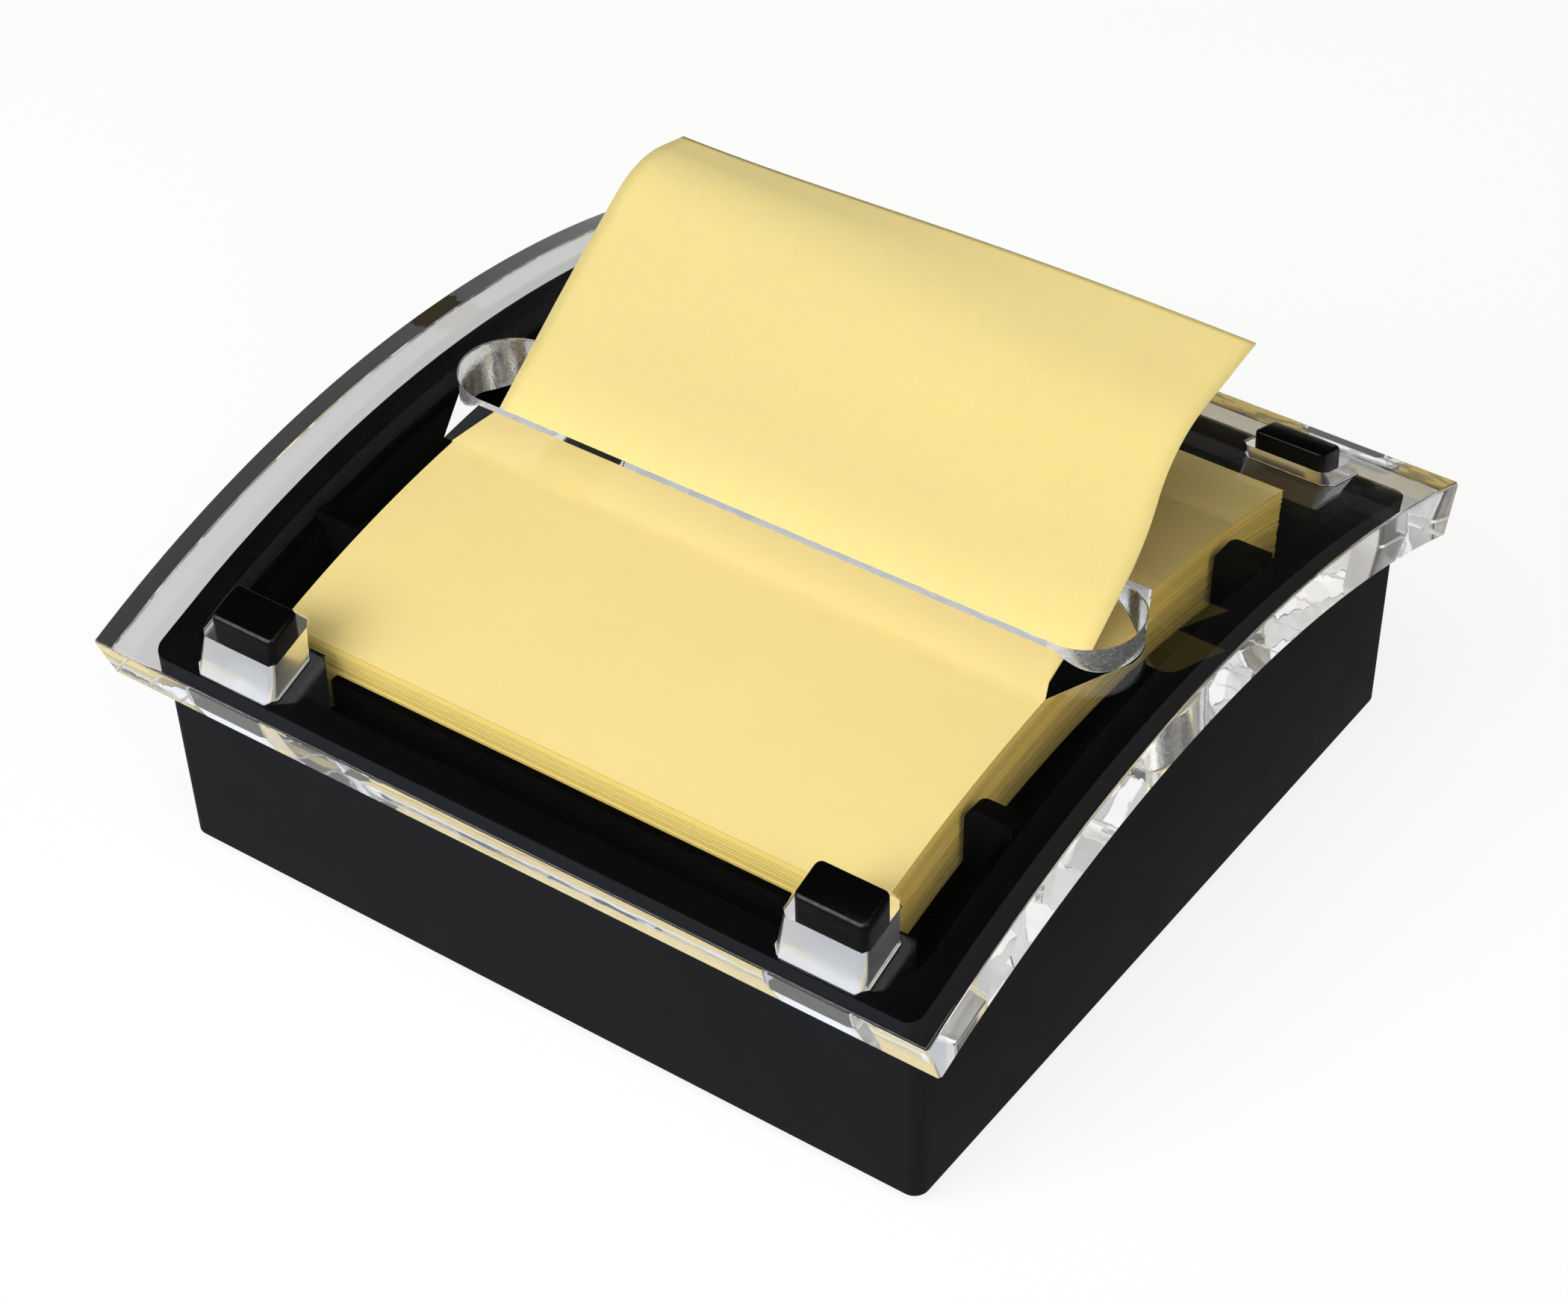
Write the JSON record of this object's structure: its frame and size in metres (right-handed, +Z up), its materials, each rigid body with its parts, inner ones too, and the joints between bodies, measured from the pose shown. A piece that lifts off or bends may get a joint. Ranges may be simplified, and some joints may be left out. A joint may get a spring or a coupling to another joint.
{
  "type": "sticky note dispenser",
  "caption": "Weighted desk dispenser for pop-up sticky notes: black base with a bowed pad under a clear arched lid, one note standing through the slot.",
  "frame": {"origin": "on the table under the middle of the dispenser", "axes": "+X to the right along the note slot, +Y to the rear, the way the raised note leans, +Z up"},
  "size_m": [0.105, 0.1036, 0.0558],
  "materials": {
    "base_plastic": "satin",
    "tray_plastic": "satin",
    "peg_plastic": "gloss",
    "clear_acrylic": "polished",
    "pad_paper": "matte",
    "note_paper": "matte",
    "steel": "satin",
    "zinc_steel": "satin",
    "rubber": "matte"
  },
  "bodies": {
    "base": {"base_shell": "base_plastic", "note_tray": "tray_plastic", "weight_plate": "steel", "tray_screws": "zinc_steel", "peg_front_left": "peg_plastic", "peg_front_right": "peg_plastic", "peg_rear_left": "peg_plastic", "peg_rear_right": "peg_plastic", "foot_front_left": "rubber", "foot_front_right": "rubber", "foot_rear_left": "rubber", "foot_rear_right": "rubber", "note_pad": "pad_paper"},
    "lid": {"lid": "clear_acrylic"},
    "raised_note": {"raised_note": "note_paper"}
  },
  "joints": [
    {"name": "lid_lift", "type": "slide", "parent": "base", "child": "lid", "axis": [0, 0, 1], "range_m": [0, 0.045]},
    {"name": "note_pull", "type": "slide", "parent": "lid", "child": "raised_note", "axis": [0, 0.8039, 0.5948], "range_m": [0, 0.02]}
  ]
}
